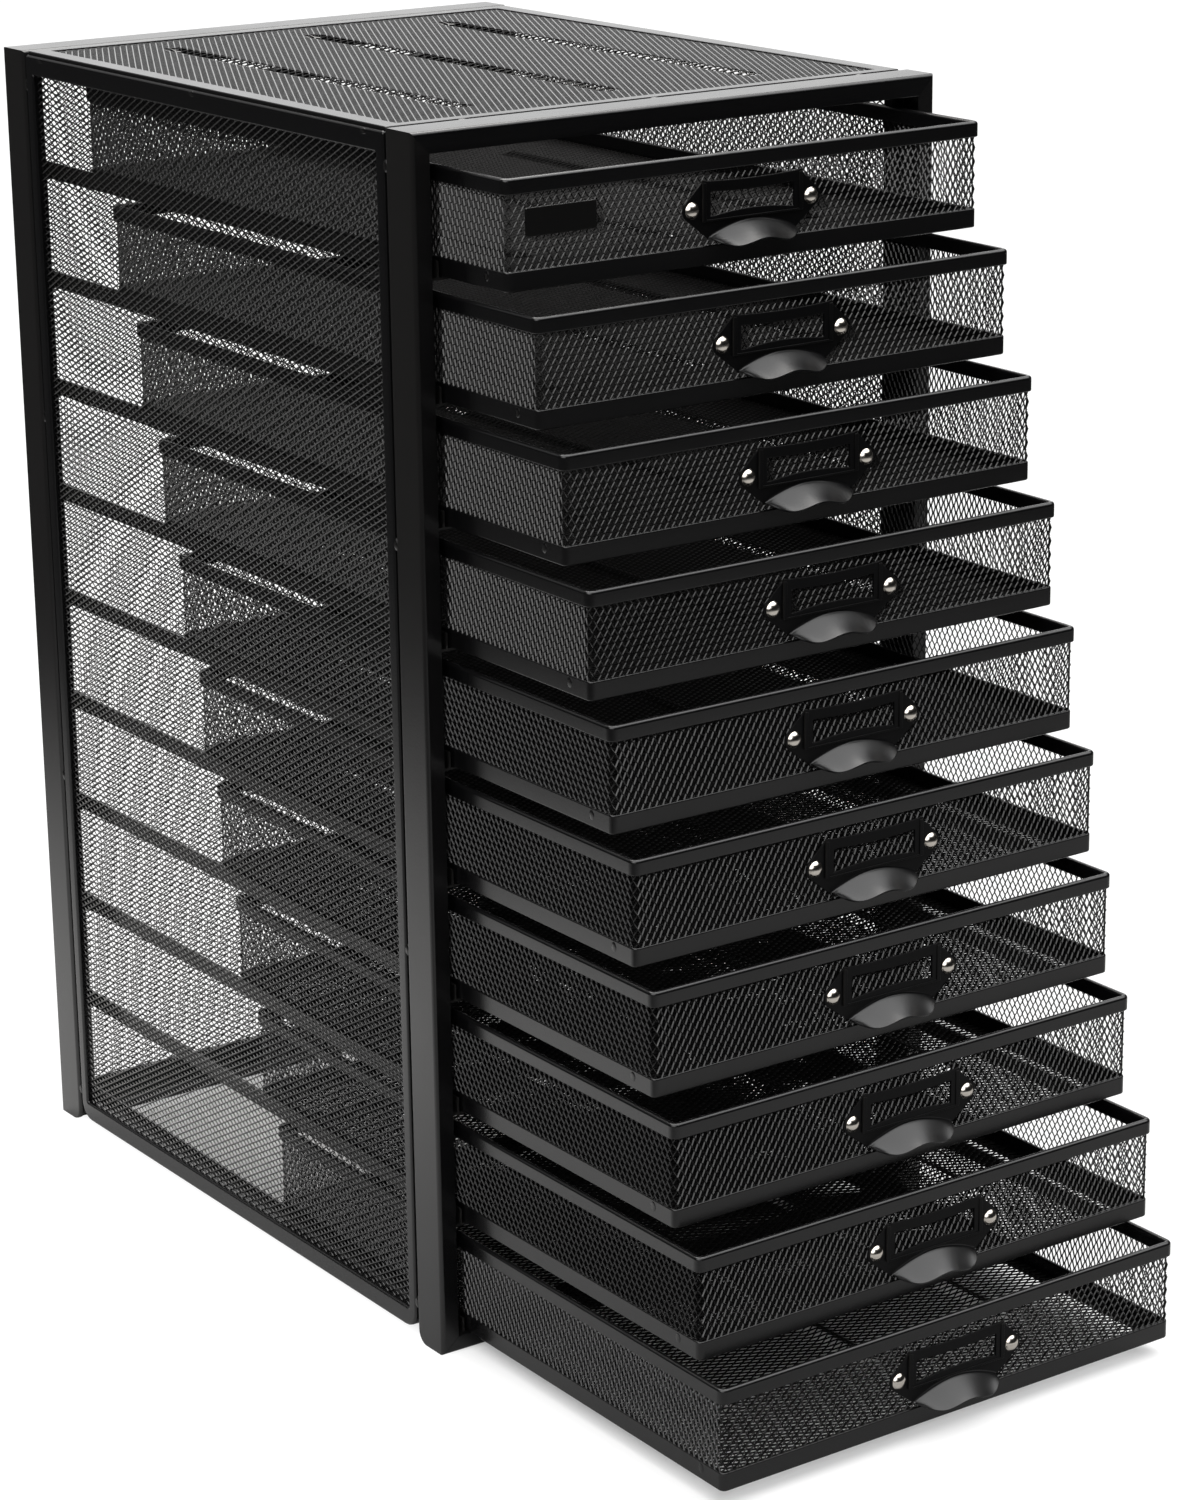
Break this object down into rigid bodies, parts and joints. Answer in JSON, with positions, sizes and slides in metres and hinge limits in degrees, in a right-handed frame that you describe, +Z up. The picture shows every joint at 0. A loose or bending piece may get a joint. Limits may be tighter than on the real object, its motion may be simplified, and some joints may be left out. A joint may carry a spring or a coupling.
{
  "type": "desktop drawer cabinet",
  "caption": "Desktop cabinet of black expanded steel mesh in folded steel frames, with shallow sliding mesh drawers that each carry a label-frame pull.",
  "frame": {"origin": "on the floor, at the middle of the box that the cabinet and its open drawers fill", "axes": "+Z up, the drawers open towards -Y, +X to the right in a front view"},
  "size_m": [0.265, 0.54, 0.525],
  "materials": {
    "powder_black": "semi-gloss powder coat",
    "mesh_black": "semi-gloss powder coat on expanded steel mesh",
    "pull_black": "satin powder coat",
    "plate_black": "gloss",
    "nickel": "polished nickel"
  },
  "bodies": {
    "cabinet": {"front_left_post": "powder_black", "front_right_post": "powder_black", "front_header": "powder_black", "front_sill": "powder_black", "back_left_post": "powder_black", "back_right_post": "powder_black", "back_header": "powder_black", "back_sill": "powder_black", "top_rim": "powder_black", "top_mesh": "mesh_black", "left_rim": "powder_black", "left_mesh": "mesh_black", "right_rim": "powder_black", "right_mesh": "mesh_black", "back_rim": "powder_black", "back_mesh": "mesh_black", "left_runners": "powder_black", "right_runners": "powder_black", "seam_welds": "powder_black"},
    "drawer_01": {"drawer_01_frame": "powder_black", "drawer_01_mesh": "mesh_black", "drawer_01_pull": "pull_black", "drawer_01_rivets": "nickel", "name_plate": "plate_black"},
    "drawer_02": {"drawer_02_frame": "powder_black", "drawer_02_mesh": "mesh_black", "drawer_02_pull": "pull_black", "drawer_02_rivets": "nickel"},
    "drawer_03": {"drawer_03_frame": "powder_black", "drawer_03_mesh": "mesh_black", "drawer_03_pull": "pull_black", "drawer_03_rivets": "nickel"},
    "drawer_04": {"drawer_04_frame": "powder_black", "drawer_04_mesh": "mesh_black", "drawer_04_pull": "pull_black", "drawer_04_rivets": "nickel"},
    "drawer_05": {"drawer_05_frame": "powder_black", "drawer_05_mesh": "mesh_black", "drawer_05_pull": "pull_black", "drawer_05_rivets": "nickel"},
    "drawer_06": {"drawer_06_frame": "powder_black", "drawer_06_mesh": "mesh_black", "drawer_06_pull": "pull_black", "drawer_06_rivets": "nickel"},
    "drawer_07": {"drawer_07_frame": "powder_black", "drawer_07_mesh": "mesh_black", "drawer_07_pull": "pull_black", "drawer_07_rivets": "nickel"},
    "drawer_08": {"drawer_08_frame": "powder_black", "drawer_08_mesh": "mesh_black", "drawer_08_pull": "pull_black", "drawer_08_rivets": "nickel"},
    "drawer_09": {"drawer_09_frame": "powder_black", "drawer_09_mesh": "mesh_black", "drawer_09_pull": "pull_black", "drawer_09_rivets": "nickel"},
    "drawer_10": {"drawer_10_frame": "powder_black", "drawer_10_mesh": "mesh_black", "drawer_10_pull": "pull_black", "drawer_10_rivets": "nickel"}
  },
  "joints": [
    {"name": "drawer_01_slide", "type": "slide", "parent": "cabinet", "child": "drawer_01", "axis": [0, -1, 0], "range_m": [-0.046, 0.194]},
    {"name": "drawer_02_slide", "type": "slide", "parent": "cabinet", "child": "drawer_02", "axis": [0, -1, 0], "range_m": [-0.066, 0.174]},
    {"name": "drawer_03_slide", "type": "slide", "parent": "cabinet", "child": "drawer_03", "axis": [0, -1, 0], "range_m": [-0.083, 0.157]},
    {"name": "drawer_04_slide", "type": "slide", "parent": "cabinet", "child": "drawer_04", "axis": [0, -1, 0], "range_m": [-0.099, 0.141]},
    {"name": "drawer_05_slide", "type": "slide", "parent": "cabinet", "child": "drawer_05", "axis": [0, -1, 0], "range_m": [-0.113, 0.127]},
    {"name": "drawer_06_slide", "type": "slide", "parent": "cabinet", "child": "drawer_06", "axis": [0, -1, 0], "range_m": [-0.127, 0.113]},
    {"name": "drawer_07_slide", "type": "slide", "parent": "cabinet", "child": "drawer_07", "axis": [0, -1, 0], "range_m": [-0.139, 0.101]},
    {"name": "drawer_08_slide", "type": "slide", "parent": "cabinet", "child": "drawer_08", "axis": [0, -1, 0], "range_m": [-0.152, 0.088]},
    {"name": "drawer_09_slide", "type": "slide", "parent": "cabinet", "child": "drawer_09", "axis": [0, -1, 0], "range_m": [-0.168, 0.072]},
    {"name": "drawer_10_slide", "type": "slide", "parent": "cabinet", "child": "drawer_10", "axis": [0, -1, 0], "range_m": [-0.183, 0.057]}
  ]
}
